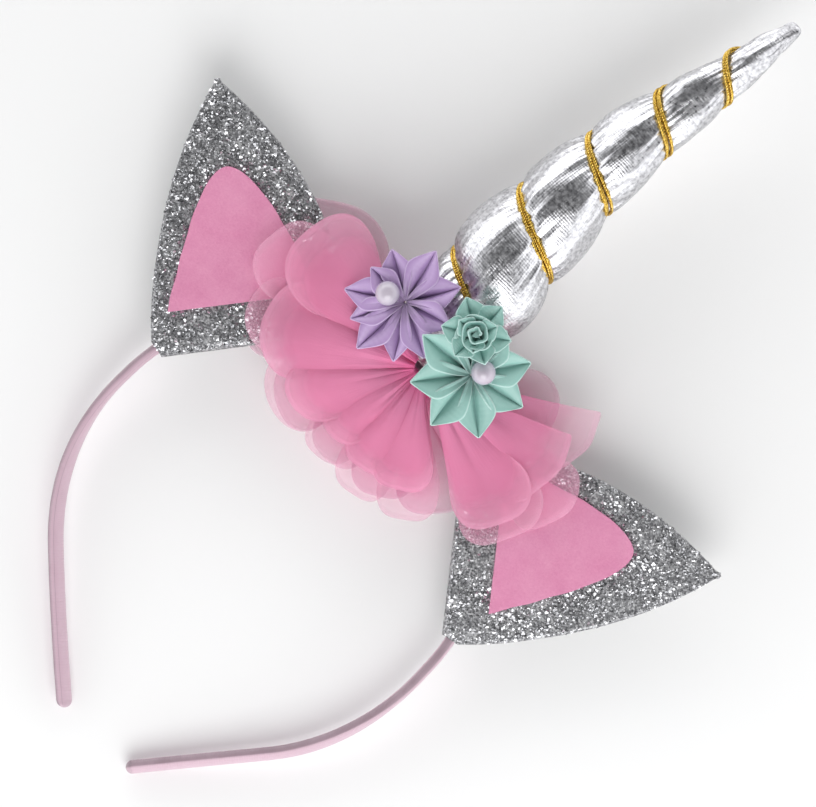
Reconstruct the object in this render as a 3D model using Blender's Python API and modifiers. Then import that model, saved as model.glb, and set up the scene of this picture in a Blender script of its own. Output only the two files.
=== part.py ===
"""A unicorn horn headband, lying on its back on a table.

A narrow satin-covered hoop carries two folded glitter ears with felt inner ears, a stuffed horn wound
with a gold cord, a rosette of chiffon petals in front of and behind the crown, two ribbon flowers with
pearls and a rolled ribbon rose. Lengths are in metres.

The pieces are modelled in the plane of the hoop: +X to the right, +Y from the crown to the horn's tip
and +Z out of the front. The whole is then tipped onto the table that it rests on.
"""

import math

import bmesh
import bpy
from mathutils import Matrix, Vector
from mathutils.bvhtree import BVHTree

COLLECTION = "unicorn_horn_headband"
FRONT = Vector((0, 0, 1))

# Gap between pieces that touch.
CLEARANCE = 0.0003

# Hoop: a round crown, then legs that turn inwards and run straight to their tips.
CROWN_RADIUS = 0.0612
LEG_RADIUS = 0.0725
LEG_TURN = math.radians(42)
LEG_STRAIGHT = 0.0428
LEG_SWAY = 0.0065
LEG_TWIST = math.radians(25)
HOOP_WIDTH = 0.0055
HOOP_THICKNESS = 0.0032
HOOP_CHAMFER = 0.0008
CROWN_FACET = math.radians(5)
LEG_FACETS = 6
STRAIGHT_FACETS = 4

# Ears: one glitter sheet each, folded round the hoop.
EAR_ANGLE = math.radians(52)
EAR_LENGTH = 0.0777
EAR_HALF_WIDTH = 0.029
EAR_FOLD_HALF_WIDTH = 0.0265
EAR_CORNER = 0.0045
EAR_TIP_HALF_WIDTH = 0.0008
EAR_FOLD_RADIUS = 0.002
EAR_CLOSING = 0.017
GLITTER_SHEET = 0.001
HOOP_SLACK = 0.0002

# Inner ears: felt patches on the front of each ear.
FELT = 0.001
FELT_START = 0.0127
FELT_LENGTH = 0.0385
FELT_HALF_WIDTH = 0.0213
FELT_SHIFT_LEFT = 0.0018
FELT_SHIFT_RIGHT = -0.0025
FELT_ROUNDING = 0.44

# Horn: a stuffed tube whose bulges lie between the turns of the cord.
HORN_LENGTH = 0.146
HORN_RADIUS = 0.0174
HORN_BASE_X = -0.0045
HORN_BASE_Y = 0.0024
HORN_LEAN = math.radians(4.4)
HORN_BOW = 0.0062
HORN_GROOVE = 0.29
HORN_SIDES = 18
HORN_OUTLINE = [
    # share of length, share of radius
    (0.00, 0.34),
    (0.04, 0.50),
    (0.10, 0.72),
    (0.16, 0.91),
    (0.22, 1.00),
    (0.30, 0.95),
    (0.42, 0.82),
    (0.54, 0.70),
    (0.68, 0.55),
    (0.82, 0.41),
    (0.94, 0.28),
    (1.00, 0.18),
]

# Gold cord: a helix whose turns grow shorter towards the tip.
CORD_RADIUS = 0.0010
CORD_SLACK = 0.0002
CORD_FIRST_TURN = 0.0242
CORD_LEAD = 0.0274
CORD_LEAD_LOSS = 0.0007
CORD_FOOT_MARGIN = 0.0126
CORD_TIP_MARGIN = 0.0108
CORD_FADE = 0.0105
CORD_POINTS_PER_TURN = 16
GROOVE_ROWS = [0.0, 0.055, 0.14, 0.27, 0.42, 0.58, 0.73, 0.86, 0.945]

# Rosette: gathered hubs and chiffon petals, each a row of direction in degrees and share of the reach.
CHIFFON = 0.001
HUB_Y = -0.006
HUB_RADIUS = 0.0068
FRONT_HUB_HEIGHT = 0.0040
BACK_HUB_HEIGHT = 0.0060
PETAL_ROOT = 0.0032
PETAL_REACH = 0.062
FRONT_FOCUS = (-0.001, 0.002)
PETAL_GAP = 0.0011
PETAL_MAX_SPREAD = math.radians(15)
PETAL_SEGMENTS = 6
BACK_PETALS = [
    # direction, share of reach
    (165, 1.00),
    (196, 0.86),
    (230, 0.61),
    (264, 0.49),
    (297, 0.52),
    (328, 0.66),
    (359, 0.88),
    (29, 0.72),
]
FRONT_PETALS = [
    # direction, share of reach
    (187, 0.93),
    (212, 0.85),
    (238, 0.70),
    (262, 0.60),
    (287, 0.61),
    (313, 0.72),
    (337, 0.86),
    (1, 1.00),
    (22, 0.86),
]
TOP_PETALS = [
    # direction, share of reach
    (176, 0.84),
    (204, 0.72),
    (231, 0.62),
    (257, 0.53),
    (283, 0.50),
    (309, 0.58),
    (335, 0.72),
    (2, 0.82),
]
FRONT_START = 0.0074
FRONT_PUFF = 0.0020
FRONT_FALL = 0.0035
TOP_START = 0.0087
TOP_PUFF = 0.0026
TOP_FALL = 0.0018
PETAL_CUP = 0.0012
PETAL_RUFFLE = 0.0012

# Ribbon flowers, their pearls and the rose.
FLOWER_RADIUS = 0.0178
FLOWER_PETALS = 8
FLOWER_NOTCH = 0.66
FLOWER_CUP = 0.0020
FLOWER_FOLD = 0.0011
SATIN = 0.001
PEARL_RADIUS = 0.0036
LILAC_PLACE = (-0.018, 0.0123)
LILAC_TILT = (math.radians(3), math.radians(-12), math.radians(10))
LILAC_PEARL_PLACE = (-0.0234, 0.0107)
MINT_PLACE = (0.0103, 0.0109)
MINT_TILT = (math.radians(-2), math.radians(14), math.radians(6))
MINT_PEARL_PLACE = (0.0123, 0.0140)
ROSE_PLACE = (0.0033, 0.0204)
ROSE_TILT = (math.radians(-8), 0.0, math.radians(20))
ROSE_RADIUS = 0.0088
ROSE_HEIGHT = 0.0060
ROSE_CORNERS = 5
ROSE_TURNS = 2.5
ROSE_ROLL = 0.0011

MATERIALS = {
    # name: colour, roughness, metallic
    "satin_band": ((0.72, 0.45, 0.55), 0.35, 0.0),
    "silver_glitter": ((0.55, 0.56, 0.58), 0.30, 0.8),
    "pink_felt": ((0.86, 0.30, 0.55), 0.95, 0.0),
    "silver_lame": ((0.72, 0.73, 0.75), 0.28, 1.0),
    "gold_cord": ((0.80, 0.55, 0.12), 0.35, 1.0),
    "pink_chiffon": ((0.90, 0.36, 0.58), 0.80, 0.0),
    "lilac_satin": ((0.56, 0.40, 0.68), 0.35, 0.0),
    "mint_satin": ((0.48, 0.76, 0.68), 0.35, 0.0),
    "pearl": ((0.86, 0.84, 0.88), 0.20, 0.0),
}


def smoothstep(share):
    share = min(1.0, max(0.0, share))
    return share * share * (3 - 2 * share)


def table_value(table, share):
    """The second column of a two-column table at a share of the first, through a smooth curve."""
    share = min(table[-1][0], max(table[0][0], share))
    i = max(j for j in range(len(table) - 1) if table[j][0] <= share)
    before, start, end, after = (
        table[max(0, i - 1)],
        table[i],
        table[i + 1],
        table[min(len(table) - 1, i + 2)],
    )
    span = end[0] - start[0]
    t = (share - start[0]) / span
    slope_in = (end[1] - before[1]) / (end[0] - before[0]) * span
    slope_out = (after[1] - start[1]) / (after[0] - start[0]) * span
    return (
        (2 * t**3 - 3 * t**2 + 1) * start[1]
        + (t**3 - 2 * t**2 + t) * slope_in
        + (3 * t**2 - 2 * t**3) * end[1]
        + (t**3 - t**2) * slope_out
    )


def clear_scene():
    for obj in list(bpy.data.objects):
        bpy.data.objects.remove(obj)


def make_materials():
    for name, (colour, roughness, metallic) in MATERIALS.items():
        material = bpy.data.materials.new(name)
        material.use_nodes = True
        shader = material.node_tree.nodes["Principled BSDF"]
        shader.inputs["Base Color"].default_value = (*colour, 1.0)
        shader.inputs["Roughness"].default_value = roughness
        shader.inputs["Metallic"].default_value = metallic


def add_object(name, data, material):
    data.materials.append(bpy.data.materials[material])
    obj = bpy.data.objects.new(name, data)
    bpy.data.collections[COLLECTION].objects.link(obj)
    return obj


def object_from_bmesh(name, bm, material):
    bmesh.ops.recalc_face_normals(bm, faces=bm.faces)
    mesh = bpy.data.meshes.new(name)
    bm.to_mesh(mesh)
    bm.free()
    mesh.shade_smooth()
    return add_object(name, mesh, material)


def lofted(name, rings, material):
    """A closed body through rings of equally many points, capped at both ends."""
    bm = bmesh.new()
    rows = [[bm.verts.new(point) for point in ring] for ring in rings]
    sides = len(rows[0])
    for low, high in zip(rows, rows[1:]):
        for i in range(sides):
            j = (i + 1) % sides
            bm.faces.new((low[i], low[j], high[j], high[i]))
    bm.faces.new(reversed(rows[0]))
    bm.faces.new(rows[-1])
    return object_from_bmesh(name, bm, material)


def sheet(name, rows, thickness, material):
    """A wall of this thickness on an open surface through rows of points, row by row facing the front."""
    bm = bmesh.new()
    grid = [[bm.verts.new(point) for point in row] for row in rows]
    for low, high in zip(grid, grid[1:]):
        for i in range(len(low) - 1):
            bm.faces.new((low[i], low[i + 1], high[i + 1], high[i]))
    obj = object_from_bmesh(name, bm, material)
    wall = obj.modifiers.new("wall", "SOLIDIFY")
    wall.thickness = thickness
    wall.offset = 0.0
    return obj


def world_shape(obj):
    """Points and faces of the evaluated object in world space."""
    bpy.context.view_layer.update()
    evaluated = obj.evaluated_get(bpy.context.evaluated_depsgraph_get())
    mesh = evaluated.to_mesh()
    points = [obj.matrix_world @ v.co for v in mesh.vertices]
    faces = [tuple(p.vertices) for p in mesh.polygons]
    evaluated.to_mesh_clear()
    return points, faces


def settle(piece, carriers, direction, clearance=CLEARANCE):
    """Slides a piece along a direction until it all but touches the first carrier that it meets."""
    reach = 0.2
    step = 0.0001
    points, faces = world_shape(piece)
    tree = BVHTree.FromPolygons(points, faces)
    carrier_shapes = [world_shape(carrier) for carrier in carriers]
    carrier_trees = [BVHTree.FromPolygons(*shape) for shape in carrier_shapes]
    travels = []
    for (carrier_points, _), carrier_tree in zip(carrier_shapes, carrier_trees):
        for point in points:
            distance = carrier_tree.ray_cast(point - reach * direction, direction)[3]
            if distance is not None:
                travels.append(distance - reach)
        for point in carrier_points:
            distance = tree.ray_cast(point + reach * direction, -direction)[3]
            if distance is not None:
                travels.append(distance - reach)
    travel = min(travels) - step
    while crosses(points, faces, travel * direction, carrier_trees):
        travel -= step
    piece.location = piece.location + (travel - clearance) * direction


def crosses(points, faces, shift, trees):
    moved = BVHTree.FromPolygons([point + shift for point in points], faces)
    return any(moved.overlap(tree) for tree in trees)


def top_under(x, y, trees):
    """The highest point of these shapes near a place, seen from the front."""
    high, near = 0.1, 0.0015
    tops = [-high]
    for dx, dy in ((0, 0), (near, 0), (-near, 0), (0, near), (0, -near)):
        for tree in trees:
            hit = tree.ray_cast(Vector((x + dx, y + dy, high)), -FRONT)[0]
            if hit is not None:
                tops.append(hit.z)
    return max(tops)


# Hoop


def leg_drop():
    """How far the tips lie below the widest point."""
    return LEG_RADIUS * math.sin(LEG_TURN) + LEG_STRAIGHT * math.cos(LEG_TURN)


def right_half_path():
    """Points and outward normals along the right half, from next to the crown's middle to the tip."""
    facets = round(math.radians(90) / CROWN_FACET)
    angles = [(i + 0.5) * CROWN_FACET for i in range(facets)] + [math.radians(90)]
    path = []
    for a in angles:
        outward = Vector((math.sin(a), math.cos(a), 0))
        path.append((CROWN_RADIUS * outward - Vector((0, CROWN_RADIUS, 0)), outward))
    centre = Vector((CROWN_RADIUS - LEG_RADIUS, -CROWN_RADIUS, 0))
    for i in range(1, LEG_FACETS + 1):
        b = LEG_TURN * i / LEG_FACETS
        outward = Vector((math.cos(b), -math.sin(b), 0))
        path.append((centre + LEG_RADIUS * outward, outward))
    start, outward = path[-1]
    along = Vector((-math.sin(LEG_TURN), -math.cos(LEG_TURN), 0))
    for i in range(1, STRAIGHT_FACETS + 1):
        share = i / STRAIGHT_FACETS
        path.append((start + share * LEG_STRAIGHT * along, outward))
    return path


def hoop_section(point, outward, side, size):
    """The chamfered section at a point of the path, twisted and swayed as far as it lies down the leg."""
    share = max(0.0, (-CROWN_RADIUS - point.y) / leg_drop())
    twist = side * LEG_TWIST * smoothstep(2 * share)
    radial = math.cos(twist) * outward + math.sin(twist) * FRONT
    across = math.cos(twist) * FRONT - math.sin(twist) * outward
    h = size * HOOP_THICKNESS / 2
    w = size * HOOP_WIDTH / 2
    c = size * HOOP_CHAMFER
    corners = [
        (h, -w + c),
        (h, w - c),
        (h - c, w),
        (c - h, w),
        (-h, w - c),
        (-h, c - w),
        (c - h, -w),
        (h - c, -w),
    ]
    centre = point + Vector((LEG_SWAY * share**2, 0, 0))
    return [centre + p * radial + q * across for p, q in corners]


def build_hoop():
    tip_sizes = [(0.0012, 0.86), (0.0020, 0.55)]
    half = [(point, outward, 1.0) for point, outward in right_half_path()]
    end, outward, _ = half[-1]
    along = Vector((outward.y, -outward.x, 0))
    half += [(end + step * along, outward, size) for step, size in tip_sizes]
    left = []
    for point, outward, size in reversed(half):
        mirrored = Vector((-point.x, point.y, 0))
        left.append(hoop_section(mirrored, Vector((-outward.x, outward.y, 0)), -1, size))
    right = [hoop_section(point, outward, 1, size) for point, outward, size in half]
    return lofted("hoop", left + right, "satin_band")


# Ears


def ear_base_distance():
    """From the centre of the crown to the fold, so that the hoop lies inside the fold at both corners."""
    slope = EAR_FOLD_HALF_WIDTH / CROWN_RADIUS
    chord = math.sqrt(CROWN_RADIUS**2 - EAR_FOLD_HALF_WIDTH**2)
    hoop_half = HOOP_THICKNESS / 2 / math.sqrt(1 - slope**2)
    return chord - hoop_half - CLEARANCE - HOOP_SLACK - GLITTER_SHEET / 2


def ear_matrix(side):
    """Ear space has X across the ear, towards the leg on the right side, Y to its tip and Z to the front."""
    turn = Matrix.Rotation(-side * EAR_ANGLE, 4, "Z")
    centre = Matrix.Translation((0, -CROWN_RADIUS, 0))
    return centre @ turn @ Matrix.Translation((0, ear_base_distance(), 0))


def ear_channel():
    """Half the distance between the middles of the two layers where the hoop runs between them."""
    return HOOP_WIDTH / 2 + CLEARANCE + GLITTER_SHEET / 2


def ear_layer_height(along):
    """Height of the front layer's middle above the hoop's plane, at a distance from the fold."""
    closed = GLITTER_SHEET / 2 + CLEARANCE / 2
    hoop_top = CROWN_RADIUS + HOOP_THICKNESS / 2 - ear_base_distance() + 2 * CLEARANCE
    share = smoothstep((along - hoop_top) / EAR_CLOSING)
    return ear_channel() + share * (closed - ear_channel())


def ear_half_width(along):
    """A pointed arch of two round sides, narrowed a little at the fold."""
    radius = (EAR_HALF_WIDTH**2 + EAR_LENGTH**2) / (2 * EAR_HALF_WIDTH)
    width = EAR_HALF_WIDTH - radius + math.sqrt(radius**2 - max(0.0, along) ** 2)
    narrowing = (EAR_HALF_WIDTH - EAR_FOLD_HALF_WIDTH) * (1 - smoothstep(along / EAR_CORNER))
    return max(EAR_TIP_HALF_WIDTH, width - narrowing)


def build_ear(name, side):
    flat = [0.06, 0.15, 0.22, 0.28, 0.35, 0.45, 0.6, 0.75, 0.88, 1.0]
    front = [(share * EAR_LENGTH, ear_layer_height(share * EAR_LENGTH)) for share in flat]
    fold = []
    for degrees in (0, 45, 90):
        a = math.radians(degrees)
        along = EAR_FOLD_RADIUS * (1 - math.sin(a))
        height = ear_channel() - EAR_FOLD_RADIUS * (1 - math.cos(a))
        fold.append((along, height))
    half = list(reversed(front)) + fold
    profile = half + [(along, -height) for along, height in reversed(half)]
    columns = [-1, -0.67, -0.33, 0, 0.33, 0.67, 1]
    rows = []
    for along, height in profile:
        width = ear_half_width(along)
        rows.append([Vector((c * width, along, height)) for c in columns])
    ear = sheet(name, rows, GLITTER_SHEET, "silver_glitter")
    ear.matrix_world = ear_matrix(side)
    return ear


def build_inner_ear(name, side, shift):
    """A felt patch that follows the front layer at a clearance."""
    shares = [0, 0.2, 0.4, 0.6, 0.78, 0.9, 0.97]
    columns = [-1, -0.6, -0.2, 0.2, 0.6, 1]
    lift = GLITTER_SHEET / 2 + CLEARANCE + FELT / 2
    rows = []
    for share in shares:
        along = FELT_START + share * FELT_LENGTH
        width = FELT_HALF_WIDTH * (1 - share) ** FELT_ROUNDING
        height = ear_layer_height(along) + lift
        rows.append([Vector((side * shift + c * width, along, height)) for c in columns])
    felt = sheet(name, rows, FELT, "pink_felt")
    felt.matrix_world = ear_matrix(side)
    return felt


# Horn and cord


def cord_height(turn):
    """Distance along the horn of the cord's turn, counted from its first crossing of the front."""
    return CORD_FIRST_TURN + CORD_LEAD * turn - CORD_LEAD_LOSS * turn**2


def cord_turn(height):
    """The turn that the cord has made at a distance along the horn."""
    root = CORD_LEAD**2 - 4 * CORD_LEAD_LOSS * (height - CORD_FIRST_TURN)
    return (CORD_LEAD - math.sqrt(root)) / (2 * CORD_LEAD_LOSS)


def horn_point(height, angle, radius):
    """A point at a radius from the horn's bowed and leaning centreline. Angle 0 is +X and 90 the front."""
    base = Vector((HORN_BASE_X, HORN_BASE_Y, 0))
    along = Vector((math.sin(HORN_LEAN), math.cos(HORN_LEAN), 0))
    across = Vector((along.y, -along.x, 0))
    bow = HORN_BOW * max(0.0, math.sin(math.pi * height / HORN_LENGTH)) ** 1.3
    centre = base + height * along - bow * across
    return centre + radius * (math.cos(angle) * across + math.sin(angle) * FRONT)


def horn_outline(height):
    return HORN_RADIUS * table_value(HORN_OUTLINE, height / HORN_LENGTH)


def groove_share(height):
    """1 where the cord bites, fading to 0 past both of its ends."""
    from_foot = smoothstep((height - CORD_FOOT_MARGIN + CORD_FADE) / CORD_FADE)
    to_tip = smoothstep((HORN_LENGTH - CORD_TIP_MARGIN + CORD_FADE - height) / CORD_FADE)
    return from_foot * to_tip


def horn_radius(height, phase):
    """The stuffed tube's radius, where phase is the share of a turn past the cord."""
    flat = GROOVE_ROWS[1]
    off_cord = max(0.0, min(phase, 1 - phase) - flat) / (0.5 - flat)
    bulge = math.sqrt(1 - (1 - off_cord) ** 2)
    depth = HORN_GROOVE * groove_share(height)
    return horn_outline(height) * (1 - depth * (1 - bulge))


def build_horn():
    """Rows follow the cord's helix, and those past either end collapse onto the end rings."""
    first = math.floor(cord_turn(0.0)) - 2
    last = math.ceil(cord_turn(HORN_LENGTH)) + 1
    rows = [(turn, phase) for turn in range(first, last) for phase in GROOVE_ROWS]
    bm = bmesh.new()
    columns = []
    for i in range(HORN_SIDES):
        share = i / HORN_SIDES
        angle = math.radians(90) + 2 * math.pi * share
        column = []
        for turn, phase in rows:
            height = cord_height(turn + phase + share)
            height = min(HORN_LENGTH, max(0.0, height))
            column.append(bm.verts.new(horn_point(height, angle, horn_radius(height, phase))))
        columns.append(column)
    per_turn = len(GROOVE_ROWS)
    for i in range(HORN_SIDES):
        near = columns[i]
        far = columns[i + 1] if i + 1 < HORN_SIDES else columns[0][per_turn:]
        for j in range(len(far) - 1):
            bm.faces.new((near[j], far[j], far[j + 1], near[j + 1]))
    bmesh.ops.remove_doubles(bm, verts=bm.verts, dist=0.00005)
    bmesh.ops.dissolve_degenerate(bm, edges=bm.edges, dist=0.00001)
    bmesh.ops.holes_fill(bm, edges=[e for e in bm.edges if e.is_boundary])
    return object_from_bmesh("horn", bm, "silver_lame")


def build_horn_cord():
    curve = bpy.data.curves.new("horn_cord", "CURVE")
    curve.dimensions = "3D"
    curve.bevel_depth = CORD_RADIUS
    curve.bevel_resolution = 2
    curve.use_fill_caps = True
    start = cord_turn(CORD_FOOT_MARGIN)
    end = cord_turn(HORN_LENGTH - CORD_TIP_MARGIN)
    count = round((end - start) * CORD_POINTS_PER_TURN) + 1
    spline = curve.splines.new("POLY")
    spline.points.add(count - 1)
    lift = CLEARANCE + CORD_SLACK + CORD_RADIUS
    for i, point in enumerate(spline.points):
        turn = start + (end - start) * i / (count - 1)
        height = cord_height(turn)
        angle = math.radians(90) + 2 * math.pi * turn
        valley = horn_outline(height) * (1 - HORN_GROOVE * groove_share(height))
        point.co = (*horn_point(height, angle, valley + lift), 1)
    return add_object("horn_cord", curve, "gold_cord")


# Rosette


def build_hub(name, height, side, hoop):
    """The gathered middle of the petals: a low dome that rests on the hoop's edge."""
    bm = bmesh.new()
    bmesh.ops.create_uvsphere(bm, u_segments=12, v_segments=6, radius=1.0)
    bmesh.ops.scale(bm, vec=(HUB_RADIUS, HUB_RADIUS, height / 2), verts=bm.verts)
    hub = object_from_bmesh(name, bm, "pink_chiffon")
    hub.location = (0, HUB_Y, side * (HOOP_WIDTH + height))
    settle(hub, [hoop], -side * FRONT)
    return hub


def petal_spreads(table, index):
    """Angles from a petal's middle to its two edges: halfway to each neighbour."""
    direction = math.radians(table[index][0])
    spreads = []
    for step in (-1, 1):
        neighbour = math.radians(table[(index + step) % len(table)][0])
        apart = (step * (neighbour - direction)) % (2 * math.pi)
        spreads.append(min(PETAL_MAX_SPREAD, apart / 2))
    return spreads


def petal_rows(table, index, focus, height_at):
    """The open surface of a petal that widens from its focus to a round edge."""
    direction, reach = math.radians(table[index][0]), PETAL_REACH * table[index][1]
    spread_before, spread_after = petal_spreads(table, index)
    rows = []
    for i in range(PETAL_SEGMENTS):
        share = i / (PETAL_SEGMENTS - 1)
        row = []
        for j in range(PETAL_SEGMENTS + 1):
            across = 2 * j / PETAL_SEGMENTS - 1
            edge = reach * (1 - 0.16 * abs(across) ** 2.4)
            distance = PETAL_ROOT + share * (edge - PETAL_ROOT)
            spread = spread_after if across > 0 else spread_before
            angle = direction + across * (spread - PETAL_GAP / 2 / distance)
            x = focus[0] + distance * math.cos(angle)
            y = focus[1] + distance * math.sin(angle)
            row.append(Vector((x, y, height_at(x, y, share, across))))
        rows.append(row)
    return rows


def build_front_petals(prefix, table, start, puff, fall, carriers):
    """Puffed petals that drape over what lies under them."""
    trees = [BVHTree.FromPolygons(*world_shape(carrier)) for carrier in carriers]
    lift = CLEARANCE + CHIFFON / 2

    def height_at(x, y, share, across):
        free = start + puff * math.sin(math.pi * share) - fall * share**2
        cup = -PETAL_CUP * share * across**2
        ruffle = PETAL_RUFFLE * share**2 * math.cos(3 * math.pi * across)
        return max(free + cup + ruffle, top_under(x, y, trees) + lift)

    petals = []
    for i in range(len(table)):
        rows = petal_rows(table, i, FRONT_FOCUS, height_at)
        petal = sheet(f"{prefix}_{i + 1}", rows, CHIFFON, "pink_chiffon")
        settle(petal, carriers, -FRONT)
        petals.append(petal)
    return petals


def build_back_petals(hub, table_at):
    """Petals behind the hoop that fall from the hub to the table and lie flat on it."""
    hub_bottom = min(point.z for point in world_shape(hub)[0])
    root = hub_bottom - CLEARANCE - CHIFFON / 2
    fall = 0.35

    def height_at(x, y, share, across):
        table = table_at(y) + CHIFFON / 2
        return max(table, root + (table - root) * smoothstep(share / fall))

    petals = []
    for i in range(len(BACK_PETALS)):
        rows = petal_rows(BACK_PETALS, i, (0, HUB_Y), height_at)
        petals.append(sheet(f"back_petal_{i + 1}", rows, CHIFFON, "pink_chiffon"))
    return petals


# Flowers, pearls and rose


def build_flower(name, place, tilt, material, carriers):
    """Folded ribbon petals that meet in the middle, with a crease down each and a groove between two."""
    fold_shape = [-1.0, 0.7, 0.5, 0.0, 0.5, 0.7]
    per_petal = len(fold_shape)
    count = FLOWER_PETALS * per_petal
    shares = [0.12, 0.4, 0.7, 1.0]
    bm = bmesh.new()
    rings = []
    for share in shares:
        ring = []
        for i in range(count):
            off_middle = abs(2 * (i % per_petal) / per_petal - 1)
            edge = FLOWER_NOTCH + (1 - FLOWER_NOTCH) * (1 - off_middle**1.15)
            distance = share * edge * FLOWER_RADIUS
            angle = 2 * math.pi * i / count
            fold = FLOWER_FOLD * fold_shape[i % per_petal] * smoothstep(2 * (share - shares[0]))
            height = FLOWER_CUP * (share - shares[0]) ** 1.5 + fold
            ring.append(
                bm.verts.new((distance * math.cos(angle), distance * math.sin(angle), height))
            )
        rings.append(ring)
    for inner, outer in zip(rings, rings[1:]):
        for i in range(count):
            j = (i + 1) % count
            bm.faces.new((inner[i], outer[i], outer[j], inner[j]))
    bm.faces.new(reversed(rings[0]))
    flower = object_from_bmesh(name, bm, material)
    wall = flower.modifiers.new("wall", "SOLIDIFY")
    wall.thickness = SATIN
    wall.offset = 0.0
    flower.rotation_euler = tilt
    flower.location = (*place, 4 * HORN_RADIUS)
    settle(flower, carriers, -FRONT)
    return flower


def build_pearl(name, place, carriers):
    bm = bmesh.new()
    bmesh.ops.create_uvsphere(bm, u_segments=12, v_segments=8, radius=PEARL_RADIUS)
    pearl = object_from_bmesh(name, bm, "pearl")
    pearl.location = (*place, 5 * HORN_RADIUS)
    settle(pearl, carriers, -FRONT)
    return pearl


def build_rose(carriers):
    """A rolled ribbon on a cornered skirt: the roll is a spiral ridge that climbs to the middle."""
    sides = 4 * ROSE_CORNERS
    shares = [0.06, 0.2, 0.34, 0.48, 0.62, 0.8, 1.0]
    rings = []
    for share in shares:
        ring = []
        for i in range(sides):
            angle = 2 * math.pi * i / sides
            corner = abs(2 * (i % 4) / 4 - 1)
            edge = 1 - 0.18 * (1 - corner) * smoothstep((share - 0.5) / 0.5)
            spiral = math.cos(2 * math.pi * (ROSE_TURNS * share - i / sides))
            roll = ROSE_ROLL * spiral * (1 - smoothstep((share - 0.6) / 0.2))
            height = ROSE_HEIGHT * (1 - smoothstep(share / 0.75)) + roll
            distance = ROSE_RADIUS * share * edge
            ring.append(Vector((distance * math.cos(angle), distance * math.sin(angle), height)))
        rings.append(ring)
    under = [Vector((0.5 * p.x, 0.5 * p.y, p.z - 2 * SATIN)) for p in rings[-1]]
    skirt = [Vector((p.x, p.y, p.z - SATIN)) for p in rings[-1]]
    rose = lofted("rose", rings + [skirt, under], "mint_satin")
    rose.rotation_euler = ROSE_TILT
    rose.location = (*ROSE_PLACE, 4 * HORN_RADIUS)
    settle(rose, carriers, -FRONT)
    return rose


# Rest on the table


def table_line(hoop, horn):
    """Slope and height of the table under the legs and the horn, as a line over Y in the hoop's plane."""
    hoop_points = world_shape(hoop)[0]
    horn_points = world_shape(horn)[0]
    slope = 0.0
    for _ in range(4):
        foot = min(hoop_points, key=lambda p: p.z - slope * p.y)
        slope = min((p.z - foot.z) / (p.y - foot.y) for p in horn_points)
    return slope, foot.z - slope * foot.y


def rest_on_table(slope):
    """Tips every piece so that the table is level, with its middle over the origin and the table at 0."""
    pose = bpy.data.objects.new("rest_pose", None)
    bpy.data.collections[COLLECTION].objects.link(pose)
    pieces = [o for o in bpy.data.collections[COLLECTION].objects if o.type != "EMPTY"]
    for piece in pieces:
        piece.parent = pose
    pose.rotation_euler.x = -math.atan(slope)
    points = [point for piece in pieces for point in world_shape(piece)[0]]
    pose.location.z = -min(point.z for point in points)
    pose.location.y = -(min(point.y for point in points) + max(point.y for point in points)) / 2
    bpy.context.view_layer.update()


def main():
    clear_scene()
    bpy.context.scene.collection.children.link(bpy.data.collections.new(COLLECTION))
    make_materials()
    hoop = build_hoop()
    ears = [build_ear("ear_left", -1), build_ear("ear_right", 1)]
    ears.append(build_inner_ear("inner_ear_left", -1, FELT_SHIFT_LEFT))
    ears.append(build_inner_ear("inner_ear_right", 1, FELT_SHIFT_RIGHT))
    horn = build_horn()
    cord = build_horn_cord()
    slope, level = table_line(hoop, horn)
    back_hub = build_hub("back_hub", BACK_HUB_HEIGHT, -1, hoop)
    build_back_petals(back_hub, lambda y: level + slope * y)
    front_hub = build_hub("front_hub", FRONT_HUB_HEIGHT, 1, hoop)
    below = [hoop, horn, cord, front_hub, *ears]
    below += build_front_petals(
        "front_petal", FRONT_PETALS, FRONT_START, FRONT_PUFF, FRONT_FALL, below
    )
    below += build_front_petals("top_petal", TOP_PETALS, TOP_START, TOP_PUFF, TOP_FALL, below)
    lilac = build_flower("lilac_flower", LILAC_PLACE, LILAC_TILT, "lilac_satin", below)
    below.append(lilac)
    mint = build_flower("mint_flower", MINT_PLACE, MINT_TILT, "mint_satin", below)
    below.append(mint)
    rose = build_rose(below)
    build_pearl("lilac_pearl", LILAC_PEARL_PLACE, [lilac])
    build_pearl("mint_pearl", MINT_PEARL_PLACE, [mint])
    rest_on_table(slope)


main()
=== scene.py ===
"""The looks of the unicorn horn headband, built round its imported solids.

Shapes are worked out in the plane of the hoop, in metres: X to the right, Y to the horn's tip, Z out of
the front. BAND places that plane as the part lies on the table.
"""

import math

import bpy
import numpy as np
from mathutils import Euler, Matrix, Vector
from mathutils.bvhtree import BVHTree


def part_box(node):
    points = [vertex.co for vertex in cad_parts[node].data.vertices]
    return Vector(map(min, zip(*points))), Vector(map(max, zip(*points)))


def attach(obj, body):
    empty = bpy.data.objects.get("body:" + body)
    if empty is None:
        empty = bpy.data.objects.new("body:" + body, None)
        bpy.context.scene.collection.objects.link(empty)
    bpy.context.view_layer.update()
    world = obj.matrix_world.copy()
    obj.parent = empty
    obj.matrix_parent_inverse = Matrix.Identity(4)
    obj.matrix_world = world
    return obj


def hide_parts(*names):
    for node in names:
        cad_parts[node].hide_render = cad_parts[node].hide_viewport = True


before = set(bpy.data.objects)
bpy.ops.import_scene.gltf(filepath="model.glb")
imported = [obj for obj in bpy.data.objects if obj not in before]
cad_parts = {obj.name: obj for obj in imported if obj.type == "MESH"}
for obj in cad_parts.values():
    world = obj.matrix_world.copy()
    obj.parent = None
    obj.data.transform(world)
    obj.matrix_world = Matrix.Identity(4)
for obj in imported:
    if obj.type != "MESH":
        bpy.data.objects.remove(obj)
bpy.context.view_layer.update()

RNG = np.random.default_rng(7)
TAU = 2 * math.pi

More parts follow.
